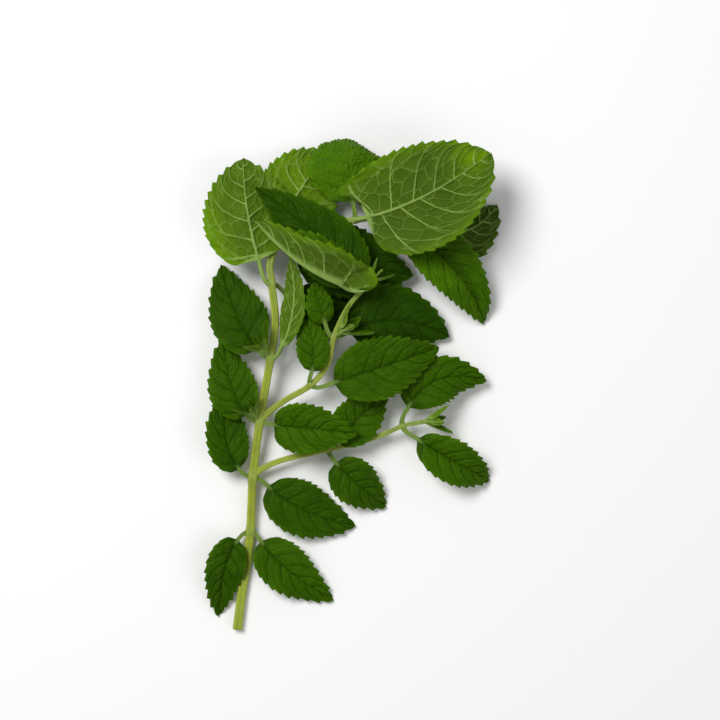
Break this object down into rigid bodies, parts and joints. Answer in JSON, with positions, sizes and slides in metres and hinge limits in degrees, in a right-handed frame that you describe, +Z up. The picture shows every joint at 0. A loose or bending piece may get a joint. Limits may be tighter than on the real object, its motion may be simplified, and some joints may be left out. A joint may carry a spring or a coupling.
{
  "type": "mint sprig",
  "caption": "Leafy cut sprig of mint with a square branching stem, toothed veined leaves in opposite pairs and young leafy tips, lying flat.",
  "frame": {"origin": "on the surface the sprig lies on, under the middle of its outline", "axes": "+Z up, +Y from the cut end of the stem towards the leafy top, +X to the right seen from above"},
  "size_m": [0.1074, 0.1786, 0.0358],
  "materials": {
    "stem": "yellow-green fresh herb stem, faintly glossy",
    "leaf": "dark green quilted leaf with a soft sheen, pale grey-green and veined beneath",
    "young_leaf": "bright green young leaf, soft sheen"
  },
  "bodies": {
    "root": {"stem": "stem", "leaf_1_left": "leaf", "leaf_1_right": "leaf", "leaf_2_left": "leaf", "leaf_2_right": "leaf", "leaf_3_left": "leaf", "leaf_3_right": "leaf", "leaf_4_left": "leaf", "leaf_4_right": "leaf", "leaf_5_left": "leaf", "leaf_5_right": "leaf", "leaf_6_left": "leaf", "leaf_6_right": "leaf", "leaf_7_left": "leaf", "leaf_7_right": "leaf", "leaf_8_left": "leaf", "leaf_8_right": "leaf", "leaf_9_left": "leaf", "leaf_9_right": "leaf", "upper_leaf_1_left": "leaf", "upper_leaf_1_right": "leaf", "upper_leaf_2_left": "leaf", "upper_leaf_2_right": "leaf", "upper_leaf_3_left": "leaf", "upper_leaf_3_right": "leaf", "lower_leaf_1_left": "leaf", "lower_leaf_1_right": "leaf", "lower_leaf_2_left": "leaf", "lower_leaf_2_right": "leaf", "axil_3": "young_leaf", "axil_4": "young_leaf", "upper_axil_2": "young_leaf", "tip_main": "young_leaf", "tip_upper": "young_leaf", "tip_lower": "young_leaf"}
  },
  "joints": []
}
